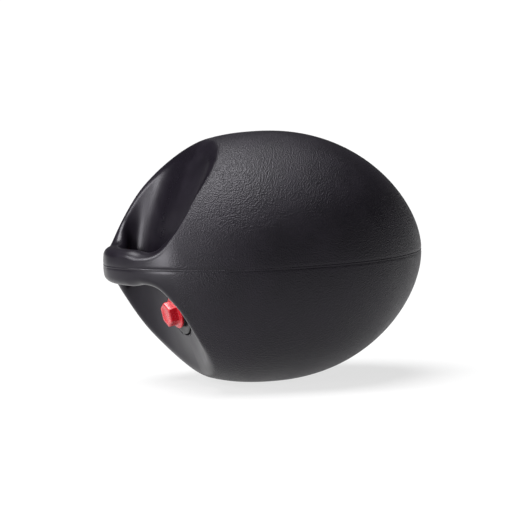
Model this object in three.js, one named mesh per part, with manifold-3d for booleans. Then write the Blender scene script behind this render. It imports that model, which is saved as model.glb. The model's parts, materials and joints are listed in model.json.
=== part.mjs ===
// A hollow, fillable weight for holding down a boat cover or a tarpaulin: a blow-moulded body with a
// handle eye moulded through one end, and a screw plug in the scoop behind the handle.
//
// Millimetres. +X runs along the body, away from the handle. +Z is up, at right angles to the mould's
// parting plane. The origin is under the middle of the body, on the surface that the body stands on.

import * as THREE from "three";
import { mergeVertices } from "three/addons/utils/BufferGeometryUtils.js";
import Module from "manifold-3d";

const wasm = await Module();
wasm.setup();

// ---- Driving dimensions ----

// Body: |x / HALF_LENGTH|^power + (rho / RADIUS)^RADIUS_POWER = 1, turned about X. The end with the
// handle is a little blunter than the other, so its power is higher.
const HALF_LENGTH = 137.6;
const RADIUS = 102.5;
const HANDLE_END_POWER = 2.37;
const FAR_END_POWER = 2.15;
const RADIUS_POWER = 1.58;
const WALL = 3;

// Flat foot under the belly: this much is taken off the lowest point of the body.
const FOOT_CUT = 1;
const CENTRE_HEIGHT = RADIUS - FOOT_CUT;

// The hole behind the handle. Its walls lean back by the mould's draft, and flare towards the rim.
// The upper scoop flares more than the lower one, which holds the filler.
const DRAFT = 0.16;
const UPPER_FLARE = 0.0021;
const LOWER_FLARE = 0.0011;
const BACK_CENTRE_X = -105;
const BACK_DEPTH = 20.8;
const BACK_HALF_WIDTH = 49.2;
const BACK_POWER = 3;
const BAR_DEPTH = 20;
const EYE_WIDTH_RATIO = 0.9;
const CORNER_BLEND = 3;

// The top of the handle bar and of the two arms that join it to the body.
const NECK_HALF_HEIGHT = 12.2;
const GRIP_RISE = 2.2;
const GRIP_FULL_HALF_WIDTH = 22;
const GRIP_END_HALF_WIDTH = 36;
const ARM_START = [-109.5, 48.6];
const ARM_DIRECTION = [0.6, 0.8];
const ARM_SLOPE = 1.53;
const ARM_BEND_LENGTH = 5;
const SCOOP_START_X = -94;
const SCOOP_SLOPE = 2.2;

// Rounded edges.
const HANDLE_EDGE_RADIUS = 6.4;
const RIM_RADIUS = 6.5;

// Filler: a round insert in the lower scoop's wall, its axis tipped down from -X.
const FILLER_X = -75.9;
const FILLER_DROP = 40;
const FILLER_TIP = THREE.MathUtils.degToRad(13);
const INSERT_FLANGE_RADIUS = 20.4;
const INSERT_FLANGE_THICKNESS = 4.5;
const INSERT_BARREL_RADIUS = 14;
const INSERT_LENGTH = 16;
const INSERT_GAP = 0.4;
const HOLE_REACH = 12;
const SEAT_GAP = 0.3;

// Screw plug, its sealing washer and its thread.
const THREAD_PITCH = 3;
const THREAD_RADIUS = 9.9;
const THREAD_WAVE = 0.55;
const THREAD_CLEARANCE = 0.45;
const THREAD_LENGTH = 12;
const WASHER_INNER_RADIUS = 11.2;
const WASHER_OUTER_RADIUS = 13;
const WASHER_THICKNESS = 1.5;
const PLUG_FLANGE_RADIUS = 13.5;
const PLUG_FLANGE_THICKNESS = 2.2;
const HEX_ACROSS_FLATS = 18;
const HEX_HEIGHT = 7.8;
const HEX_CHAMFER = 0.8;
const CORE_RADIUS = 6.2;
const CORE_FLOOR = 2;

// Mesh fineness.
const SKIN_COLUMNS = 64;
const SKIN_ROWS = 18;
const CAVITY_COLUMNS = 40;
const CAVITY_ROWS = 10;
const ROUND_SIDES = 32;
const THREAD_SIDES = 28;
const THREAD_ROWS_PER_TURN = 6;

// ---- Materials ----

const shellPlastic = new THREE.MeshStandardMaterial({ color: 0x1c1c1f, roughness: 0.5, metalness: 0 });
const insertPlastic = new THREE.MeshStandardMaterial({ color: 0x242427, roughness: 0.4, metalness: 0 });
const washerRubber = new THREE.MeshStandardMaterial({ color: 0x101011, roughness: 0.8, metalness: 0 });
const plugPlastic = new THREE.MeshStandardMaterial({ color: 0xc4101c, roughness: 0.3, metalness: 0 });

// ---- Distances to the body's surfaces, about the body's centre; negative inside the plastic ----

// First-order distance to |a / sizeA|^powerA + |b / sizeB|^powerB = 1, negative inside.
function ovalDistance(a, sizeA, powerA, b, sizeB, powerB) {
  const ratioA = Math.abs(a) / sizeA;
  const ratioB = Math.max(Math.abs(b), 1e-6) / sizeB;
  const value = ratioA ** powerA + ratioB ** powerB - 1;
  const slopeA = (powerA * ratioA ** (powerA - 1)) / sizeA;
  const slopeB = (powerB * ratioB ** (powerB - 1)) / sizeB;
  return value / Math.max(Math.hypot(slopeA, slopeB), 1e-3);
}

// The larger of two distances, with the edge between them rounded to the radius.
function roundedMax(a, b, radius) {
  const overA = Math.max(a + radius, 0);
  const overB = Math.max(b + radius, 0);
  return Math.min(-radius, Math.max(a, b)) + Math.hypot(overA, overB);
}

function blendedMax(a, b, width) {
  const overlap = Math.max(width - Math.abs(a - b), 0) / width;
  return Math.max(a, b) + (overlap * overlap * width) / 4;
}

function bodyDistance(x, y, z) {
  const power = x < 0 ? HANDLE_END_POWER : FAR_END_POWER;
  return ovalDistance(x, HALF_LENGTH, power, Math.hypot(y, z), RADIUS, RADIUS_POWER);
}

// Negative in the air of the hole: a flat-backed oval, cut off in front along the inside of the handle.
function eyeDistance(x, y, z) {
  const lean = DRAFT * Math.abs(z);
  const flare = (z > 0 ? UPPER_FLARE : LOWER_FLARE) * z * z;
  const back = ovalDistance(
    x - BACK_CENTRE_X,
    BACK_DEPTH + lean + flare,
    BACK_POWER,
    y,
    BACK_HALF_WIDTH + lean,
    BACK_POWER,
  );
  const front = ovalDistance(
    x,
    HALF_LENGTH - BAR_DEPTH + lean,
    HANDLE_END_POWER,
    y,
    RADIUS * EYE_WIDTH_RATIO + lean,
    RADIUS_POWER,
  );
  return blendedMax(back, front, CORNER_BLEND);
}

// 0 before the start, then rising one for one, with a soft bend between.
function softRamp(along) {
  const share = along / ARM_BEND_LENGTH;
  return share > 30 ? along : ARM_BEND_LENGTH * Math.log1p(Math.exp(share));
}

// Height of the handle's top: level over the grip, lower at the two necks, then rising along the arms.
function handleTop(x, y) {
  const side = Math.abs(y);
  const grip = 1 - THREE.MathUtils.smoothstep(side, GRIP_FULL_HALF_WIDTH, GRIP_END_HALF_WIDTH);
  const [startX, startY] = ARM_START;
  const alongArm = ARM_DIRECTION[0] * (x - startX) + ARM_DIRECTION[1] * (side - startY);
  const arm = ARM_SLOPE * softRamp(alongArm);
  const scoop = SCOOP_SLOPE * softRamp(x - SCOOP_START_X);
  return NECK_HALF_HEIGHT + GRIP_RISE * grip + arm + scoop;
}

function handleTopDistance(x, y, height) {
  const step = 0.5;
  const top = handleTop(x, y);
  const slopeX = (handleTop(x + step, y) - top) / step;
  const slopeY = (handleTop(x, Math.abs(y) + step) - top) / step;
  return (height - top) / Math.hypot(1, slopeX, slopeY);
}

function plasticDistance(x, y, z) {
  const body = bodyDistance(x, y, z);
  const capped = roundedMax(body, handleTopDistance(x, y, Math.abs(z)), HANDLE_EDGE_RADIUS);
  return roundedMax(capped, -eyeDistance(x, y, z), RIM_RADIUS);
}

// ---- The two mould halves as one closed skin, a given depth inside the surface ----

function bisect(low, high, isLow) {
  for (let step = 0; step < 40; step += 1) {
    const middle = (low + high) / 2;
    if (isLow(middle)) {
      low = middle;
    } else {
      high = middle;
    }
  }
  return (low + high) / 2;
}

// How far the skin is from the parting plane, in the upper half (1) or the lower half (-1).
function skinHeight(x, y, depth, half) {
  if (plasticDistance(x, y, 0) + depth >= 0) {
    return 0;
  }
  return bisect(0, RADIUS, (height) => plasticDistance(x, y, half * height) + depth < 0);
}

// One line of the skin, from the hole's edge to the parting line, spaced closer where it bends.
function skinLine(angle, depth, rows, half) {
  const eyeCentreX = BACK_CENTRE_X + 6;
  const fineSteps = 240;
  const bendWeight = 14;
  const pointAt = (reach) => [eyeCentreX + reach * Math.cos(angle), reach * Math.sin(angle)];
  const inPlastic = (reach) => plasticDistance(...pointAt(reach), 0) + depth < 0;
  let reach = 0;
  while (!inPlastic(reach)) {
    reach += 0.5;
  }
  const start = bisect(reach - 0.5, reach, (r) => !inPlastic(r));
  while (inPlastic(reach)) {
    reach += 0.5;
  }
  const end = bisect(reach - 0.5, reach, inPlastic);

  const reachAt = (share) => start + ((end - start) * (1 - Math.cos(Math.PI * share))) / 2;
  const heightAt = (r) => skinHeight(...pointAt(r), depth, half);
  const travelled = [0];
  let before = [start, 0];
  let heading = Math.PI / 2;
  for (let step = 1; step <= fineSteps; step += 1) {
    const r = reachAt(step / fineSteps);
    const here = [r, step === fineSteps ? 0 : heightAt(r)];
    const newHeading = Math.atan2(here[1] - before[1], here[0] - before[0]);
    const length = Math.hypot(here[0] - before[0], here[1] - before[1]);
    travelled.push(travelled[step - 1] + length + bendWeight * Math.abs(newHeading - heading));
    before = here;
    heading = newHeading;
  }

  const line = [];
  let step = 0;
  for (let row = 0; row <= rows; row += 1) {
    const goal = (travelled[fineSteps] * row) / rows;
    while (step < fineSteps - 1 && travelled[step + 1] < goal) {
      step += 1;
    }
    const share = (goal - travelled[step]) / (travelled[step + 1] - travelled[step]);
    const r = reachAt((step + share) / fineSteps);
    const atEdge = row === 0 || row === rows;
    line.push([...pointAt(r), atEdge ? 0 : half * heightAt(r)]);
  }
  return line;
}

function skinGeometry(depth, columns, rows) {
  const positions = [];
  const indices = [];
  for (let column = 0; column < columns; column += 1) {
    const turn = (2 * Math.PI * column) / columns;
    const angle = turn + 0.62 * Math.sin(turn);
    const upper = skinLine(angle, depth, rows, 1);
    const lower = skinLine(angle, depth, rows, -1);
    for (let row = 0; row <= rows; row += 1) {
      positions.push(...upper[row], ...lower[row]);
    }
  }
  const vertex = (column, row, half) => {
    const onEdge = row === 0 || row === rows;
    return ((column % columns) * (rows + 1) + row) * 2 + (onEdge ? 0 : half);
  };
  for (let column = 0; column < columns; column += 1) {
    for (let row = 0; row < rows; row += 1) {
      for (const half of [0, 1]) {
        const a = vertex(column, row, half);
        const b = vertex(column, row + 1, half);
        const c = vertex(column + 1, row + 1, half);
        const d = vertex(column + 1, row, half);
        indices.push(...(half === 0 ? [a, b, c, a, c, d] : [a, c, b, a, d, c]));
      }
    }
  }
  const geometry = new THREE.BufferGeometry();
  geometry.setAttribute("position", new THREE.Float32BufferAttribute(positions, 3));
  geometry.setIndex(indices);
  return geometry;
}

// ---- Solids for cutting and joining ----

function toSolid(geometry) {
  const bare = geometry.clone();
  for (const name of Object.keys(bare.attributes)) {
    if (name !== "position") {
      bare.deleteAttribute(name);
    }
  }
  const merged = mergeVertices(bare, 1e-4);
  const mesh = new wasm.Mesh({
    numProp: 3,
    vertProperties: new Float32Array(merged.attributes.position.array),
    triVerts: new Uint32Array(merged.index.array),
  });
  return new wasm.Manifold(mesh);
}

function toGeometry(solid) {
  const mesh = solid.getMesh();
  const geometry = new THREE.BufferGeometry();
  geometry.setAttribute("position", new THREE.Float32BufferAttribute(mesh.vertProperties, 3));
  geometry.setIndex(Array.from(mesh.triVerts));
  geometry.computeVertexNormals();
  return geometry;
}

// A turned solid about local Z, from [radius, z] points that run up the outside from the axis.
function turned(points, sides = ROUND_SIDES) {
  const profile = points.map(([radius, z]) => new THREE.Vector2(radius, z));
  return new THREE.LatheGeometry(profile, sides).rotateX(Math.PI / 2);
}

function turnedDrum(radius, bottom, top, sides = ROUND_SIDES) {
  return turned([[0, bottom], [radius, bottom], [radius, top], [0, top]], sides);
}

// A right-handed round thread about local Z, with flat ends.
function threadedDrum(meanRadius, bottom, top) {
  const rows = Math.round(((top - bottom) / THREAD_PITCH) * THREAD_ROWS_PER_TURN);
  const positions = [0, 0, bottom, 0, 0, top];
  const indices = [];
  for (let row = 0; row <= rows; row += 1) {
    const z = bottom + ((top - bottom) * row) / rows;
    for (let side = 0; side < THREAD_SIDES; side += 1) {
      const turn = side / THREAD_SIDES;
      const radius = meanRadius + THREAD_WAVE * Math.cos(2 * Math.PI * (z / THREAD_PITCH - turn));
      positions.push(radius * Math.cos(2 * Math.PI * turn), radius * Math.sin(2 * Math.PI * turn), z);
    }
  }
  const vertex = (row, side) => 2 + row * THREAD_SIDES + (side % THREAD_SIDES);
  for (let side = 0; side < THREAD_SIDES; side += 1) {
    indices.push(0, vertex(0, side + 1), vertex(0, side));
    indices.push(1, vertex(rows, side), vertex(rows, side + 1));
    for (let row = 0; row < rows; row += 1) {
      const a = vertex(row, side);
      const b = vertex(row, side + 1);
      const c = vertex(row + 1, side + 1);
      const d = vertex(row + 1, side);
      indices.push(a, b, c, a, c, d);
    }
  }
  const geometry = new THREE.BufferGeometry();
  geometry.setAttribute("position", new THREE.Float32BufferAttribute(positions, 3));
  geometry.setIndex(indices);
  return geometry;
}

// ---- Pieces ----

// From the filler's own frame, with local Z out along its axis, to the body's frame.
const fillerPlace = new THREE.Matrix4()
  .makeRotationY(-(Math.PI / 2 + FILLER_TIP))
  .setPosition(FILLER_X, 0, -FILLER_DROP);

function makeShell() {
  const hole = turnedDrum(INSERT_FLANGE_RADIUS + INSERT_GAP, -HOLE_REACH, HOLE_REACH);
  const cavity = toSolid(skinGeometry(WALL, CAVITY_COLUMNS, CAVITY_ROWS));
  const floorSlab = new THREE.BoxGeometry(2 * HALF_LENGTH, 2 * RADIUS, RADIUS);
  floorSlab.translate(0, 0, -CENTRE_HEIGHT - RADIUS / 2);
  const skin = toSolid(skinGeometry(0, SKIN_COLUMNS, SKIN_ROWS));
  const cut = cavity.add(toSolid(hole.applyMatrix4(fillerPlace)));
  return toGeometry(skin.subtract(toSolid(floorSlab)).subtract(cut));
}

function makeInsert() {
  const flange = toSolid(turnedDrum(INSERT_FLANGE_RADIUS, -INSERT_FLANGE_THICKNESS, 0));
  const barrel = toSolid(turnedDrum(INSERT_BARREL_RADIUS, -INSERT_LENGTH, -0.5));
  const reach = THREAD_PITCH * 6;
  const bore = toSolid(threadedDrum(THREAD_RADIUS + THREAD_CLEARANCE, -reach, reach / 6));
  return toGeometry(flange.add(barrel).subtract(bore));
}

function makeWasher() {
  const bottom = SEAT_GAP;
  const top = SEAT_GAP + WASHER_THICKNESS;
  const edge = 0.4;
  return turned([
    [WASHER_INNER_RADIUS, bottom + edge],
    [WASHER_INNER_RADIUS + edge, bottom],
    [WASHER_OUTER_RADIUS - edge, bottom],
    [WASHER_OUTER_RADIUS, bottom + edge],
    [WASHER_OUTER_RADIUS, top - edge],
    [WASHER_OUTER_RADIUS - edge, top],
    [WASHER_INNER_RADIUS + edge, top],
    [WASHER_INNER_RADIUS, top - edge],
    [WASHER_INNER_RADIUS, bottom + edge],
  ]);
}

function makePlug() {
  const flangeBottom = 2 * SEAT_GAP + WASHER_THICKNESS;
  const flangeTop = flangeBottom + PLUG_FLANGE_THICKNESS;
  const hexTop = flangeTop + HEX_HEIGHT;
  const hexRadius = HEX_ACROSS_FLATS / 2 / Math.cos(Math.PI / 6);
  const flangeEdge = 0.6;
  const flange = turned([
    [0, flangeBottom],
    [PLUG_FLANGE_RADIUS - flangeEdge, flangeBottom],
    [PLUG_FLANGE_RADIUS, flangeBottom + flangeEdge],
    [PLUG_FLANGE_RADIUS, flangeTop - flangeEdge],
    [PLUG_FLANGE_RADIUS - flangeEdge, flangeTop],
    [0, flangeTop],
  ]);
  const hex = turned([
    [0, flangeTop - 1],
    [hexRadius, flangeTop - 1],
    [hexRadius, hexTop - HEX_CHAMFER],
    [hexRadius - HEX_CHAMFER, hexTop],
    [0, hexTop],
  ], 6).rotateZ(Math.PI / 6);
  const shank = threadedDrum(THREAD_RADIUS, -THREAD_LENGTH, flangeBottom + 0.9);
  const core = turnedDrum(CORE_RADIUS, -THREAD_LENGTH - 1, -CORE_FLOOR);
  return toGeometry(toSolid(shank).add(toSolid(flange)).add(toSolid(hex)).subtract(toSolid(core)));
}

function namedMesh(name, geometry, material) {
  const mesh = new THREE.Mesh(geometry, material);
  mesh.name = name;
  return mesh;
}

const body = new THREE.Group();
body.position.z = CENTRE_HEIGHT;
body.add(namedMesh("shell", makeShell(), shellPlastic));

const filler = new THREE.Group();
filler.position.set(FILLER_X, 0, -FILLER_DROP);
filler.rotation.y = -(Math.PI / 2 + FILLER_TIP);
filler.add(namedMesh("neck_insert", makeInsert(), insertPlastic));
filler.add(namedMesh("sealing_washer", makeWasher(), washerRubber));
filler.add(namedMesh("filler_plug", makePlug(), plugPlastic));
body.add(filler);

const weight = new THREE.Group();
weight.add(body);

export default weight;
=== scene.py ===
"""Looks for the hollow boat cover weight: the moulded shell, its neck insert, washer and red plug.

Metres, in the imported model's frame: +X along the body away from the handle, +Z up from the floor.
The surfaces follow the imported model's own formulas, at a finer mesh.
"""

import json
import math

import bmesh
import bpy
import numpy as np
from mathutils import Matrix, Vector


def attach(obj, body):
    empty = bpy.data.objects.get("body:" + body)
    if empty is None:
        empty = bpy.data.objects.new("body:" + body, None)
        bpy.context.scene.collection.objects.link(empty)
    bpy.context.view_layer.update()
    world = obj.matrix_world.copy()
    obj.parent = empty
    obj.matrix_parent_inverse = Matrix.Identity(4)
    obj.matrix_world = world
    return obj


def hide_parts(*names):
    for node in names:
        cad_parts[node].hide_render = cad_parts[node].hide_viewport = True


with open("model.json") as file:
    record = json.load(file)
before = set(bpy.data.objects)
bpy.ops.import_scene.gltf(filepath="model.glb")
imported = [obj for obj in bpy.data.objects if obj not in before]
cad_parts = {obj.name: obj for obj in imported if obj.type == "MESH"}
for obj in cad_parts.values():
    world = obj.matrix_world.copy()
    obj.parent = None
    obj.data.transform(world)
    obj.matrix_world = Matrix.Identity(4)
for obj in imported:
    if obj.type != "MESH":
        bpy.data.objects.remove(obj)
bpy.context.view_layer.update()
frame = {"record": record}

MM = 0.001

# ---- Driving dimensions, in millimetres about the body's centre ----

HALF_LENGTH = 137.6
RADIUS = 102.5
HANDLE_END_POWER = 2.37
FAR_END_POWER = 2.15
RADIUS_POWER = 1.58
WALL = 3.0
FOOT_CUT = 1.0
CENTRE_HEIGHT = RADIUS - FOOT_CUT

DRAFT = 0.16
UPPER_FLARE = 0.0021
LOWER_FLARE = 0.0011
BACK_CENTRE_X = -105.0
BACK_DEPTH = 20.8
BACK_HALF_WIDTH = 49.2
BACK_POWER = 3.0
BAR_DEPTH = 20.0
EYE_WIDTH_RATIO = 0.9
CORNER_BLEND = 3.0

NECK_HALF_HEIGHT = 12.2
GRIP_RISE = 2.2
GRIP_FULL_HALF_WIDTH = 22.0
GRIP_END_HALF_WIDTH = 36.0
ARM_START = (-109.5, 48.6)
ARM_DIRECTION = (0.6, 0.8)
ARM_SLOPE = 1.53
ARM_BEND_LENGTH = 5.0
SCOOP_START_X = -94.0
SCOOP_SLOPE = 2.2
HANDLE_EDGE_RADIUS = 6.4
RIM_RADIUS = 6.5

# The moulding's parting line: a fine ridge along the middle of a slightly sunken land.
PARTING_RIDGE_HEIGHT = 0.45
PARTING_RIDGE_HALF_WIDTH = 0.45
PARTING_LAND_HALF_WIDTH = 1.5

# Filler, along its own axis: 0 is the insert's face.
INSERT_FLANGE_RADIUS = 20.4
INSERT_FLANGE_THICKNESS = 4.5
INSERT_BARREL_RADIUS = 14.0
INSERT_LENGTH = 16.0
INSERT_GAP = 0.4
INSERT_SEAM = 0.7
HOLE_REACH = 12.0
SEAT_GAP = 0.3

THREAD_PITCH = 3.0
THREAD_RADIUS = 9.9
THREAD_WAVE = 0.55
THREAD_CLEARANCE = 0.45
THREAD_LENGTH = 12.0
WASHER_INNER_RADIUS = 11.2
WASHER_OUTER_RADIUS = 13.0
WASHER_THICKNESS = 1.5
PLUG_FLANGE_RADIUS = 13.5
PLUG_FLANGE_THICKNESS = 2.2
HEX_ACROSS_FLATS = 18.0
HEX_HEIGHT = 7.8
CORE_RADIUS = 6.2
CORE_FLOOR = 2.0

HEX_CORNER_SHARPNESS = 34
HEX_EDGE_RADIUS = 1.1
FLANGE_EDGE_RADIUS = 0.7
FACE_DISH_RADIUS = 6.0
FACE_DISH_DEPTH = 0.5

# The outside's grain fades in along the body between these two places, and away from a scoop's edge
# over these two depths.
GRAIN_FADE_X = (-112.0, -96.0)
GRAIN_FADE_EDGE = (1.0, 4.5)

# Mesh fineness. The columns crowd round towards the handle, and rows gather where the skin bends.
COLUMN_CROWDING = 0.62
SKIN_COLUMNS = 400
SKIN_MIDDLE_ROWS = 110
SKIN_EDGE_HEIGHTS = (0, 0.15, 0.3, 0.45, 0.62, 0.82, 1.05, 1.35, 1.75, 2.3, 3.0, 3.8, 4.6)
CAVITY_COLUMNS = 96
CAVITY_MIDDLE_ROWS = 24
CAVITY_EDGE_HEIGHTS = (0, 1.0, 2.5, 4.0)
BEND_WEIGHT = 16.0
BEND_SAMPLES = 300
SCAN_REACH = 260.0
SCAN_STEP = 0.5
BISECT_STEPS = 24
ROUND_SIDES = 144
THREAD_ROWS_PER_TURN = 12

# Camera: where it stands round the body, its distance and sensor in millimetres, how many
# millimetres at the body fill the picture's width, and how far right of the picture's middle the
# body is, as a share of that width.
CAMERA_TURN = math.radians(-22.9)
CAMERA_RISE = math.radians(5.8)
CAMERA_ROLL = math.radians(1.48)
CAMERA_DISTANCE = 3300.0
SENSOR_WIDTH = 36.0
PICTURE_WIDTH = 418.75
BODY_SHIFT = 0.0156

# The skins' columns fan out from a point well inside the hole behind the handle.
EYE_CENTRE_X = BACK_CENTRE_X + 6


# ---- Distances to the body's surfaces, negative inside the plastic ----

def oval_distance(a, size_a, power_a, b, size_b, power_b):
    """First-order distance to |a / size_a|^power_a + |b / size_b|^power_b = 1."""
    ratio_a = np.abs(a) / size_a
    ratio_b = np.maximum(np.abs(b), 1e-6) / size_b
    value = ratio_a ** power_a + ratio_b ** power_b - 1
    slope_a = power_a * ratio_a ** (power_a - 1) / size_a
    slope_b = power_b * ratio_b ** (power_b - 1) / size_b
    return value / np.maximum(np.hypot(slope_a, slope_b), 1e-3)


def rounded_max(a, b, radius):
    """The larger of two distances, with the edge between them rounded to the radius."""
    over = np.hypot(np.maximum(a + radius, 0), np.maximum(b + radius, 0))
    return np.minimum(-radius, np.maximum(a, b)) + over


def blended_max(a, b, width):
    """The larger of two distances, softly blended where they are less than the width apart."""
    overlap = np.maximum(width - np.abs(a - b), 0) / width
    return np.maximum(a, b) + overlap * overlap * width / 4


def body_distance(x, y, z):
    """The lemon-shaped body without its handle: round across, and fuller at the handle's end."""
    power = np.where(x < 0, HANDLE_END_POWER, FAR_END_POWER)
    return oval_distance(x, HALF_LENGTH, power, np.hypot(y, z), RADIUS, RADIUS_POWER)


def eye_distance(x, y, z):
    """Negative in the air of the hole behind the handle."""
    lean = DRAFT * np.abs(z)
    flare = np.where(z > 0, UPPER_FLARE, LOWER_FLARE) * z * z
    back = oval_distance(x - BACK_CENTRE_X, BACK_DEPTH + lean + flare, BACK_POWER,
                         y, BACK_HALF_WIDTH + lean, BACK_POWER)
    front = oval_distance(x, HALF_LENGTH - BAR_DEPTH + lean, HANDLE_END_POWER,
                          y, RADIUS * EYE_WIDTH_RATIO + lean, RADIUS_POWER)
    return blended_max(back, front, CORNER_BLEND)


def soft_ramp(along):
    """0 before the start, then rising one for one, with a soft bend between."""
    return ARM_BEND_LENGTH * np.logaddexp(0, along / ARM_BEND_LENGTH)


def smooth_step(value, low, high):
    share = np.clip((value - low) / (high - low), 0, 1)
    return share * share * (3 - 2 * share)


def handle_top(x, y):
    """Height of the handle's top: raised at the grip, low at the necks, rising along the arms."""
    side = np.abs(y)
    grip = 1 - smooth_step(side, GRIP_FULL_HALF_WIDTH, GRIP_END_HALF_WIDTH)
    along_arm = ARM_DIRECTION[0] * (x - ARM_START[0]) + ARM_DIRECTION[1] * (side - ARM_START[1])
    arm = ARM_SLOPE * soft_ramp(along_arm)
    scoop = SCOOP_SLOPE * soft_ramp(x - SCOOP_START_X)
    return NECK_HALF_HEIGHT + GRIP_RISE * grip + arm + scoop


def handle_top_distance(x, y, height):
    """First-order distance to the surface of the handle's top, negative under it."""
    step = 0.5
    top = handle_top(x, y)
    slope_x = (handle_top(x + step, y) - top) / step
    slope_y = (handle_top(x, np.abs(y) + step) - top) / step
    return (height - top) / np.sqrt(1 + slope_x ** 2 + slope_y ** 2)


def plastic_distance(x, y, z):
    """The whole moulding's outer form, without its parting line."""
    below_top = handle_top_distance(x, y, np.abs(z))
    capped = rounded_max(body_distance(x, y, z), below_top, HANDLE_EDGE_RADIUS)
    return rounded_max(capped, -eye_distance(x, y, z), RIM_RADIUS)


def parting_sink(z):
    """How far the surface lies below the nominal one, which the ridge's crest alone reaches."""
    land = np.exp(-(z / PARTING_LAND_HALF_WIDTH) ** 2)
    ridge = np.exp(-(z / PARTING_RIDGE_HALF_WIDTH) ** 2)
    return PARTING_RIDGE_HEIGHT * (land - ridge)


def outside_distance(x, y, z):
    return plastic_distance(x, y, z) + parting_sink(z)


def inside_distance(x, y, z):
    return plastic_distance(x, y, z) + WALL


# ---- The moulding's surfaces as closed grids ----

def bisect(low, high, is_low):
    """Closes in on the places where is_low turns false, between arrays of lows and highs."""
    for _ in range(BISECT_STEPS):
        middle = (low + high) / 2
        below = is_low(middle)
        low = np.where(below, middle, low)
        high = np.where(below, high, middle)
    return (low + high) / 2


def skin_rows(distance, columns, edge_heights, middle_rows, half):
    """One half of a skin, upper (1) or lower (-1), as an array [row, column, xyz].

    Its rows run from the parting line in the hole, over the half, to the parting line outside. The
    rows next to both are at the given heights, and the rest are closer where the skin bends.
    """
    turn = 2 * np.pi * np.arange(columns) / columns
    angle = turn + COLUMN_CROWDING * np.sin(turn)
    along_x = np.cos(angle)
    along_y = np.sin(angle)

    def is_plastic(reach, z):
        return distance(EYE_CENTRE_X + reach * along_x, reach * along_y, half * z + 0 * reach) < 0

    def skin_height(reach):
        low = np.zeros_like(reach)
        return bisect(low, low + RADIUS, lambda z: is_plastic(reach, z))

    # Outwards along the parting plane: the first step in plastic, and the first step past it.
    scan = np.arange(0.0, SCAN_REACH, SCAN_STEP)[:, None] + np.zeros(columns)
    scanned = is_plastic(scan, 0.0)
    first = scanned.argmax(axis=0)
    beyond = ~scanned & (np.arange(len(scan))[:, None] > first)
    last = beyond.argmax(axis=0)
    edge_rows = np.ones((len(edge_heights), 1))
    z_edge = np.array(edge_heights)[:, None]
    in_hole = SCAN_STEP * (first - 1) * edge_rows
    in_plastic = SCAN_STEP / 2 * (first + last) * edge_rows
    in_open = SCAN_STEP * last * edge_rows
    hole_reach = bisect(in_hole, in_plastic, lambda reach: ~is_plastic(reach, z_edge))
    rim_reach = bisect(in_plastic, in_open, lambda reach: is_plastic(reach, z_edge))

    # Sample the skin between the edges, and share the rows out by its length and by its bends.
    start = hole_reach[-1]
    end = rim_reach[-1]
    share = (1 - np.cos(np.pi * np.linspace(0, 1, BEND_SAMPLES)))[:, None] / 2
    reach = start + (end - start) * share
    z = skin_height(reach)
    step_reach = np.diff(reach, axis=0)
    step_z = np.diff(z, axis=0)
    heading = np.unwrap(np.arctan2(step_z, step_reach), axis=0)
    bend = np.abs(np.diff(heading, axis=0, prepend=heading[:1]))
    spacing = np.hypot(step_reach, step_z) + BEND_WEIGHT * bend
    travelled = np.vstack([np.zeros(columns), np.cumsum(spacing, axis=0)])
    shares = np.linspace(0, 1, middle_rows + 2)[1:-1]
    between = np.empty((middle_rows, columns))
    for column in range(columns):
        goal = travelled[-1, column] * shares
        between[:, column] = np.interp(goal, travelled[:, column], reach[:, column])

    reach = np.vstack([hole_reach, between, rim_reach[::-1]])
    flat = np.zeros(columns)
    z = np.vstack([z_edge + flat, skin_height(between), z_edge[::-1] + flat])
    return np.stack([EYE_CENTRE_X + reach * along_x, reach * along_y, half * z], axis=-1)


def skin_ring(*settings):
    """A whole skin as a ring of rows: from the hole over the top to the rim, and back below."""
    upper = skin_rows(*settings, half=1)
    lower = skin_rows(*settings, half=-1)
    return np.concatenate([upper, lower[-2:0:-1]])


def grid_object(name, rows, ring=False, poles=None):
    """A closed mesh from rows [row, column, xyz] in millimetres.

    The rows make a ring, or lie between two poles.
    """
    row_count, column_count = rows.shape[:2]
    points = rows.reshape(-1, 3)
    row = np.arange(row_count if ring else row_count - 1)[:, None]
    column = np.arange(column_count)[None, :]
    next_row = (row + 1) % row_count
    next_column = (column + 1) % column_count
    corners = [row * column_count + column, row * column_count + next_column,
               next_row * column_count + next_column, next_row * column_count + column]
    faces = np.stack(corners, axis=-1).reshape(-1, 4).tolist()
    if poles is not None:
        points = np.vstack([points, poles])
        low_pole = row_count * column_count
        last_row = (row_count - 1) * column_count
        for side in range(column_count):
            after = (side + 1) % column_count
            faces.append([low_pole, after, side])
            faces.append([low_pole + 1, last_row + side, last_row + after])
    mesh = bpy.data.meshes.new(name)
    mesh.from_pydata((points * MM).tolist(), [], faces)
    mesh.validate()
    face_out(mesh)
    made = bpy.data.objects.new(name, mesh)
    bpy.context.scene.collection.objects.link(made)
    return made


def face_out(mesh):
    """Turns every face of a closed mesh to look outwards, and shades it smooth."""
    work = bmesh.new()
    work.from_mesh(mesh)
    if work.calc_volume(signed=True) < 0:
        bmesh.ops.reverse_faces(work, faces=work.faces)
    work.to_mesh(mesh)
    work.free()
    mesh.shade_smooth()


def combine(body, tool, operation):
    """Joins the tool to the body or cuts it out, and removes the tool."""
    modifier = body.modifiers.new("combine", "BOOLEAN")
    modifier.operation = operation
    modifier.solver = "EXACT"
    modifier.object = tool
    bpy.context.view_layer.objects.active = body
    bpy.ops.object.modifier_apply(modifier=modifier.name)
    bpy.data.objects.remove(tool)


# ---- Turned and threaded pieces about the filler's own axis, local Z ----

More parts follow.
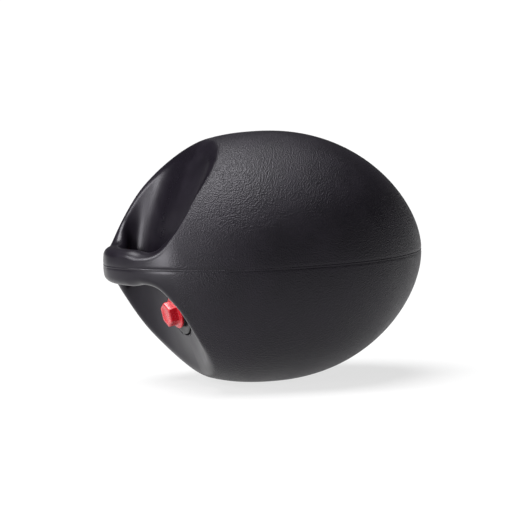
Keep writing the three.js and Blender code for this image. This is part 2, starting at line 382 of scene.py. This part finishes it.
joints = {joint["name"]: joint for joint in frame["record"]["behaviour"]["joints"]}
filler_point = Vector(joints["plug_turn"]["pos_m"])
filler_axis = Vector(joints["plug_turn"]["axis"]).normalized()
filler_across = Vector((0, 1, 0))
filler_down = filler_across.cross(filler_axis)
filler_place = Matrix((filler_down, filler_across, filler_axis)).transposed().to_4x4()
filler_place.translation = filler_point
body_place = Matrix.Translation((0, 0, CENTRE_HEIGHT * MM))

ROUND_ANGLES = 2 * np.pi * np.arange(ROUND_SIDES) / ROUND_SIDES


def turned_rows(profile):
    """Rows [row, side, xyz] from a profile of (radius, z).

    A radius may be an array, with one value for each side.
    """
    rows = np.empty((len(profile), ROUND_SIDES, 3))
    for row, (radius, z) in zip(rows, profile):
        row[:, 0] = radius * np.cos(ROUND_ANGLES)
        row[:, 1] = radius * np.sin(ROUND_ANGLES)
        row[:, 2] = z
    return rows


def turned_object(name, profile, place):
    """A solid turned about local Z whose profile starts and ends at the axis."""
    poles = np.array([[0, 0, profile[0][1]], [0, 0, profile[-1][1]]])
    made = grid_object(name, turned_rows(profile), poles=poles)
    made.data.transform(place)
    return made


def arc(centre_radius, centre_z, radius, start, end, steps=5):
    """Profile points on an arc, with angles in degrees from the radius direction towards +Z."""
    angles = np.radians(np.linspace(start, end, steps))
    return [(centre_radius + radius * np.cos(a), centre_z + radius * np.sin(a)) for a in angles]


def thread_rows(mean_radius, bottom, top):
    """Profile points of a right-handed round thread, from the bottom up."""
    count = int(round((top - bottom) / THREAD_PITCH * THREAD_ROWS_PER_TURN))
    points = []
    for z in np.linspace(bottom, top, count + 1):
        phase = 2 * np.pi * z / THREAD_PITCH - ROUND_ANGLES
        points.append((mean_radius + THREAD_WAVE * np.cos(phase), z))
    return points


# ---- Shell ----

def make_shell():
    """The moulding, hollow and open at the filler, with its foot cut level."""
    hole_radius = INSERT_FLANGE_RADIUS + INSERT_GAP
    hole_profile = [(2, -HOLE_REACH), (hole_radius, -HOLE_REACH)]
    hole_profile += [(hole_radius, HOLE_REACH), (2, HOLE_REACH)]
    hole = turned_object("hole", hole_profile, filler_place)
    cavity_skin = skin_ring(
        inside_distance, CAVITY_COLUMNS, CAVITY_EDGE_HEIGHTS, CAVITY_MIDDLE_ROWS)
    cavity = grid_object("cavity", cavity_skin, ring=True)
    cavity.data.transform(body_place)
    combine(cavity, hole, "UNION")
    skin = skin_ring(outside_distance, SKIN_COLUMNS, SKIN_EDGE_HEIGHTS, SKIN_MIDDLE_ROWS)
    skin[:, :, 2] = np.maximum(skin[:, :, 2], -CENTRE_HEIGHT)
    made = grid_object("shell_moulding", skin, ring=True)
    made.data.transform(body_place)
    combine(made, cavity, "DIFFERENCE")
    made.data.shade_smooth()
    mark_grain(made.data)
    return made


def mark_grain(mesh):
    """Stores how grained each point is: fully outside, not in the scoops nor on the handle."""
    points = np.empty(len(mesh.vertices) * 3)
    mesh.vertices.foreach_get("co", points)
    x, y, z = (points.reshape(-1, 3) / MM - (0, 0, CENTRE_HEIGHT)).T
    scooped = np.maximum(handle_top_distance(x, y, np.abs(z)), -eye_distance(x, y, z))
    outside = smooth_step(body_distance(x, y, z) - scooped, *GRAIN_FADE_EDGE)
    grain = outside * smooth_step(x, *GRAIN_FADE_X)
    mesh.attributes.new("grain", "FLOAT", "POINT").data.foreach_set("value", grain)


# ---- Filler pieces ----

def make_insert():
    """The insert's rim is drawn a little small, so that the seam round it is a dark line."""
    edge = 0.4
    rim = INSERT_FLANGE_RADIUS - INSERT_SEAM
    bore = THREAD_RADIUS + THREAD_CLEARANCE
    mouth = bore + THREAD_WAVE + 0.6
    profile = thread_rows(bore, -INSERT_LENGTH + 0.6, -0.9)
    profile += [(mouth, -0.3), (mouth + 0.3, 0)]
    profile += arc(rim - edge, -edge, edge, 90, 0)
    profile += arc(rim - edge, edge - INSERT_FLANGE_THICKNESS, edge, 0, -90)
    profile += [(INSERT_BARREL_RADIUS, -INSERT_FLANGE_THICKNESS)]
    profile += [(INSERT_BARREL_RADIUS, 0.5 - INSERT_LENGTH)]
    profile += [(INSERT_BARREL_RADIUS - 0.5, -INSERT_LENGTH), (mouth, -INSERT_LENGTH)]
    made = grid_object("insert_moulding", turned_rows(profile), ring=True)
    made.data.transform(filler_place)
    return made


def make_washer():
    """A flat rubber ring with rounded edges, between the insert's face and the plug's flange."""
    edge = 0.35
    low = SEAT_GAP + edge
    high = SEAT_GAP + WASHER_THICKNESS - edge
    outer = WASHER_OUTER_RADIUS - edge
    inner = WASHER_INNER_RADIUS + edge
    profile = arc(outer, low, edge, -90, 0) + arc(outer, high, edge, 0, 90)
    profile += arc(inner, high, edge, 90, 180) + arc(inner, low, edge, 180, 270)
    made = grid_object("washer_ring", turned_rows(profile), ring=True)
    made.data.transform(filler_place)
    return made


def hexagon_radius(across_flats):
    """The radius at each side angle of a hexagon with softened corners, one of them on local +X."""
    total = np.zeros(ROUND_SIDES)
    for flat in range(6):
        facing = np.maximum(np.cos(ROUND_ANGLES - (flat + 0.5) * np.pi / 3), 0)
        total += facing ** HEX_CORNER_SHARPNESS
    return across_flats / 2 * total ** (-1 / HEX_CORNER_SHARPNESS)


def make_plug():
    """The hollow threaded stem, the round flange and the hexagonal head with a dished face."""
    flange_bottom = 2 * SEAT_GAP + WASHER_THICKNESS
    flange_top = flange_bottom + PLUG_FLANGE_THICKNESS
    hex_top = flange_top + HEX_HEIGHT
    edge = FLANGE_EDGE_RADIUS
    profile = [(1, -CORE_FLOOR), (CORE_RADIUS - 0.5, -CORE_FLOOR), (CORE_RADIUS, -CORE_FLOOR - 0.5)]
    profile += [(CORE_RADIUS, -THREAD_LENGTH)]
    profile += thread_rows(THREAD_RADIUS, -THREAD_LENGTH, flange_bottom - 0.8)
    profile += [(THREAD_RADIUS, flange_bottom)]
    profile += arc(PLUG_FLANGE_RADIUS - edge, flange_bottom + edge, edge, -90, 0)
    profile += arc(PLUG_FLANGE_RADIUS - edge, flange_top - edge, edge, 0, 90)
    hexagon = hexagon_radius(HEX_ACROSS_FLATS)
    profile += [(hexagon + 0.5, flange_top), (hexagon + 0.12, flange_top + 0.15)]
    profile += [(hexagon, flange_top + 0.5)]
    profile += [(hexagon, z) for z in np.linspace(flange_top + 1, hex_top - HEX_EDGE_RADIUS, 4)]
    for angle in np.radians((20, 40, 60, 78, 90)):
        inset = HEX_EDGE_RADIUS * (1 - np.cos(angle))
        below = HEX_EDGE_RADIUS * (1 - np.sin(angle))
        profile.append((hexagon - inset, hex_top - below))
    profile += [(FACE_DISH_RADIUS + 0.5, hex_top), (FACE_DISH_RADIUS, hex_top - 0.15)]
    profile += [(FACE_DISH_RADIUS - 0.6, hex_top - FACE_DISH_DEPTH), (1, hex_top - FACE_DISH_DEPTH)]
    return turned_object("plug_moulding", profile, filler_place)


# ---- Materials ----

class Nodes:
    """Short calls for building one material's nodes."""

    def __init__(self, name):
        self.material = bpy.data.materials.new(name)
        self.material.use_nodes = True
        self.tree = self.material.node_tree
        self.surface = self.tree.nodes["Principled BSDF"]
        self.place = self.add("ShaderNodeTexCoord").outputs["Object"]

    def add(self, kind, **settings):
        made = self.tree.nodes.new(kind)
        for name, value in settings.items():
            setattr(made, name, value)
        return made

    def link(self, output, target):
        """Joins an output to a socket, or sets the socket if a plain value is given."""
        if isinstance(output, bpy.types.NodeSocket):
            self.tree.links.new(output, target)
        else:
            target.default_value = output

    def noise(self, scale, detail, roughness=0.55):
        made = self.add("ShaderNodeTexNoise")
        made.inputs["Scale"].default_value = scale
        made.inputs["Detail"].default_value = detail
        made.inputs["Roughness"].default_value = roughness
        self.link(self.place, made.inputs["Vector"])
        return made.outputs["Fac"]

    def cells(self, scale, smoothness):
        made = self.add("ShaderNodeTexVoronoi", feature="SMOOTH_F1")
        made.inputs["Scale"].default_value = scale
        made.inputs["Smoothness"].default_value = smoothness
        self.link(self.place, made.inputs["Vector"])
        return made.outputs["Distance"]

    def math(self, operation, a, b):
        made = self.add("ShaderNodeMath", operation=operation)
        self.link(a, made.inputs[0])
        self.link(b, made.inputs[1])
        return made.outputs[0]

    def spread(self, value, low, high, to_low, to_high):
        """Eases a value's range from low to high onto another range."""
        made = self.add("ShaderNodeMapRange", interpolation_type="SMOOTHSTEP")
        for socket, setting in zip(made.inputs, (value, low, high, to_low, to_high)):
            self.link(setting, socket)
        return made.outputs["Result"]

    def mix_colour(self, share, first, second):
        made = self.add("ShaderNodeMix", data_type="RGBA")
        self.link(share, made.inputs["Factor"])
        self.link(first, made.inputs[6])
        self.link(second, made.inputs[7])
        return made.outputs[2]

    def mix_value(self, share, first, second):
        made = self.add("ShaderNodeMix", data_type="FLOAT")
        self.link(share, made.inputs["Factor"])
        self.link(first, made.inputs[2])
        self.link(second, made.inputs[3])
        return made.outputs[0]

    def bump(self, height, strength, distance, below=None):
        made = self.add("ShaderNodeBump")
        self.link(strength, made.inputs["Strength"])
        self.link(distance, made.inputs["Distance"])
        self.link(height, made.inputs["Height"])
        if below is not None:
            self.link(below, made.inputs["Normal"])
        return made.outputs["Normal"]

    def finish(self, **sockets):
        """Sets the surface's sockets, named with underscores for spaces."""
        for name, value in sockets.items():
            self.link(value, self.surface.inputs[name.replace("_", " ")])
        return self.material


def moulded_black():
    """Charcoal polyethylene, with leather grain where the "grain" attribute is 1."""
    nodes = Nodes("moulded_black")
    grain = nodes.add("ShaderNodeAttribute", attribute_name="grain").outputs["Fac"]
    pebbles = nodes.cells(900, 0.2)
    folds = nodes.noise(1350, 2)
    leather = nodes.math("ADD", pebbles, nodes.math("MULTIPLY", folds, 0.25))
    patches = nodes.noise(26, 5, 0.6)
    dust = nodes.noise(900, 2)
    scuffs = nodes.spread(nodes.noise(70, 8, 0.7), 0.6, 0.74, 0.0, 1.0)
    leather_normal = nodes.bump(leather, nodes.math("MULTIPLY", grain, 0.8), 0.0005)
    ripple_normal = nodes.bump(nodes.noise(60, 3), 0.12, 0.0006, below=leather_normal)
    fine_normal = nodes.bump(dust, 0.05, 0.0001, below=ripple_normal)
    deep = (0.0046, 0.0036, 0.006, 1)
    worn = (0.0078, 0.0062, 0.0098, 1)
    base = nodes.mix_colour(nodes.spread(patches, 0.35, 0.7, 0.0, 1.0), deep, worn)
    pale = nodes.math("MULTIPLY", scuffs, 0.22)
    colour = nodes.mix_colour(pale, base, (0.018, 0.017, 0.02, 1))
    smooth_part = nodes.spread(patches, 0.3, 0.7, 0.27, 0.36)
    grained_part = nodes.spread(patches, 0.3, 0.7, 0.42, 0.48)
    mixed = nodes.mix_value(grain, smooth_part, grained_part)
    rough = nodes.math("ADD", mixed, nodes.math("MULTIPLY", scuffs, 0.06))
    return nodes.finish(Base_Color=colour, Roughness=rough, Normal=fine_normal,
                        Specular_IOR_Level=0.27, Specular_Tint=(0.95, 0.93, 1, 1))


def insert_black():
    """Smooth black polyethylene with faint tooling marks."""
    nodes = Nodes("insert_black")
    patches = nodes.noise(60, 5, 0.6)
    marks = nodes.noise(500, 3)
    colour = nodes.mix_colour(patches, (0.011, 0.011, 0.012, 1), (0.019, 0.019, 0.021, 1))
    rough = nodes.spread(patches, 0.3, 0.7, 0.28, 0.4)
    return nodes.finish(Base_Color=colour, Roughness=rough, Normal=nodes.bump(marks, 0.12, 0.0002),
                        Specular_IOR_Level=0.23)


def washer_black():
    """Matt black rubber."""
    nodes = Nodes("washer_black")
    grain = nodes.noise(1400, 4)
    colour = nodes.mix_colour(grain, (0.005, 0.005, 0.006, 1), (0.014, 0.014, 0.014, 1))
    rough = nodes.spread(grain, 0.3, 0.7, 0.7, 0.85)
    return nodes.finish(Base_Color=colour, Roughness=rough, Normal=nodes.bump(grain, 0.3, 0.0002))


def plug_red():
    """Glossy red moulded plastic, a little cloudy, with light handling marks."""
    nodes = Nodes("plug_red")
    clouds = nodes.noise(120, 4)
    marks = nodes.noise(700, 6, 0.7)
    colour = nodes.mix_colour(clouds, (0.38, 0.004, 0.012, 1), (0.52, 0.009, 0.021, 1))
    rough = nodes.spread(marks, 0.35, 0.75, 0.2, 0.4)
    return nodes.finish(Base_Color=colour, Roughness=rough, Normal=nodes.bump(marks, 0.15, 0.0002),
                        Subsurface_Weight=0.12, Subsurface_Scale=0.002)


def studio_floor():
    """A plain pale light table with a very faint mottle."""
    nodes = Nodes("studio_floor")
    mottle = nodes.noise(3, 3)
    colour = nodes.mix_colour(mottle, (0.13, 0.13, 0.132, 1), (0.15, 0.15, 0.15, 1))
    return nodes.finish(Base_Color=colour, Roughness=0.7,
                        Emission_Color=(1, 1, 1, 1), Emission_Strength=0.72)


# ---- Pieces on their bodies ----

def place_piece(piece, material, body, node):
    """Gives a piece its material, the body it rides on and the CAD node it replaces."""
    piece.data.materials.clear()
    piece.data.materials.append(material)
    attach(piece, body)
    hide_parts(node)


place_piece(make_shell(), moulded_black(), "shell", "shell")
place_piece(make_insert(), insert_black(), "shell", "neck_insert")
place_piece(make_washer(), washer_black(), "seal", "sealing_washer")
place_piece(make_plug(), plug_red(), "plug", "filler_plug")


# ---- Floor, lights and camera ----

def make_floor():
    """A plain level floor that reaches far behind the body."""
    half_side = 40.0
    mesh = bpy.data.meshes.new("studio_floor")
    corners = [(-half_side, -half_side, 0), (half_side, -half_side, 0),
               (half_side, half_side, 0), (-half_side, half_side, 0)]
    mesh.from_pydata(corners, [], [(0, 1, 2, 3)])
    mesh.materials.append(studio_floor())
    floor = bpy.data.objects.new("studio_floor", mesh)
    bpy.context.scene.collection.objects.link(floor)


def direction(turn, rise):
    """A unit vector at an angle round the body from the front, and above it, in degrees."""
    turn = math.radians(turn)
    rise = math.radians(rise)
    level = math.cos(rise)
    return Vector((math.sin(turn) * level, -math.cos(turn) * level, math.sin(rise)))


def add_light(name, kind, power, turn, rise, distance=0.0):
    light = bpy.data.lights.new(name, kind)
    light.energy = power
    lamp = bpy.data.objects.new(name, light)
    away = direction(turn, rise)
    lamp.location = Vector((0, 0, CENTRE_HEIGHT * MM)) + away * distance
    lamp.rotation_euler = away.to_track_quat("Z", "Y").to_euler()
    bpy.context.scene.collection.objects.link(lamp)
    return light


def soft_light(name, power, size, turn, rise, distance):
    """A rectangular softbox that faces the body's centre."""
    light = add_light(name, "AREA", power, turn, rise, distance)
    light.shape = "RECTANGLE"
    light.size, light.size_y = size


def broad_light(name, power, spread, turn, rise):
    """An even light over the whole floor, as from a very large softbox."""
    light = add_light(name, "SUN", power, turn, rise)
    light.angle = math.radians(spread)


def make_sky(horizon, above):
    """Dim surroundings over a brighter band at the horizon, like a lit backdrop far away."""
    world = bpy.data.worlds.new("studio")
    world.use_nodes = True
    nodes = world.node_tree.nodes
    links = world.node_tree.links
    place = nodes.new("ShaderNodeTexCoord")
    split = nodes.new("ShaderNodeSeparateXYZ")
    strength = nodes.new("ShaderNodeMapRange")
    strength.interpolation_type = "SMOOTHSTEP"
    band = {"From Min": 0.06, "From Max": 0.14, "To Min": horizon, "To Max": above}
    for name, value in band.items():
        strength.inputs[name].default_value = value
    links.new(place.outputs["Generated"], split.inputs["Vector"])
    links.new(split.outputs["Z"], strength.inputs["Value"])
    links.new(strength.outputs["Result"], nodes["Background"].inputs["Strength"])
    nodes["Background"].inputs["Color"].default_value = (1, 1, 1, 1)
    bpy.context.scene.world = world


def make_camera():
    """A camera that looks along the body's side from a little above, rolled slightly."""
    turn = -CAMERA_TURN
    right = Vector((math.cos(turn), -math.sin(turn), 0))
    up = Vector((math.sin(turn) * math.sin(CAMERA_RISE), math.cos(turn) * math.sin(CAMERA_RISE),
                 math.cos(CAMERA_RISE)))
    back = right.cross(up)
    cos_roll = math.cos(CAMERA_ROLL)
    sin_roll = math.sin(CAMERA_ROLL)
    rolled_right = cos_roll * right - sin_roll * up
    rolled_up = sin_roll * right + cos_roll * up
    view = Matrix((rolled_right, rolled_up, back)).transposed().to_4x4()
    view.translation = (Vector((0, 0, CENTRE_HEIGHT)) + back * CAMERA_DISTANCE) * MM
    data = bpy.data.cameras.new("camera")
    data.sensor_width = SENSOR_WIDTH
    data.lens = SENSOR_WIDTH * CAMERA_DISTANCE / PICTURE_WIDTH
    data.shift_x = -BODY_SHIFT
    camera = bpy.data.objects.new("camera", data)
    camera.matrix_world = view
    bpy.context.scene.collection.objects.link(camera)
    bpy.context.scene.camera = camera


make_floor()
make_sky(horizon=0.35, above=0.03)
broad_light("overhead", 6.5, 44, turn=-125, rise=78.5)
soft_light("neck_light", 18.0, (0.45, 0.9), turn=-76, rise=8, distance=1.5)
soft_light("scoop_light", 11.0, (0.3, 0.5), turn=-100, rise=32, distance=1.5)
make_camera()
bpy.context.scene.view_settings.view_transform = "Standard"
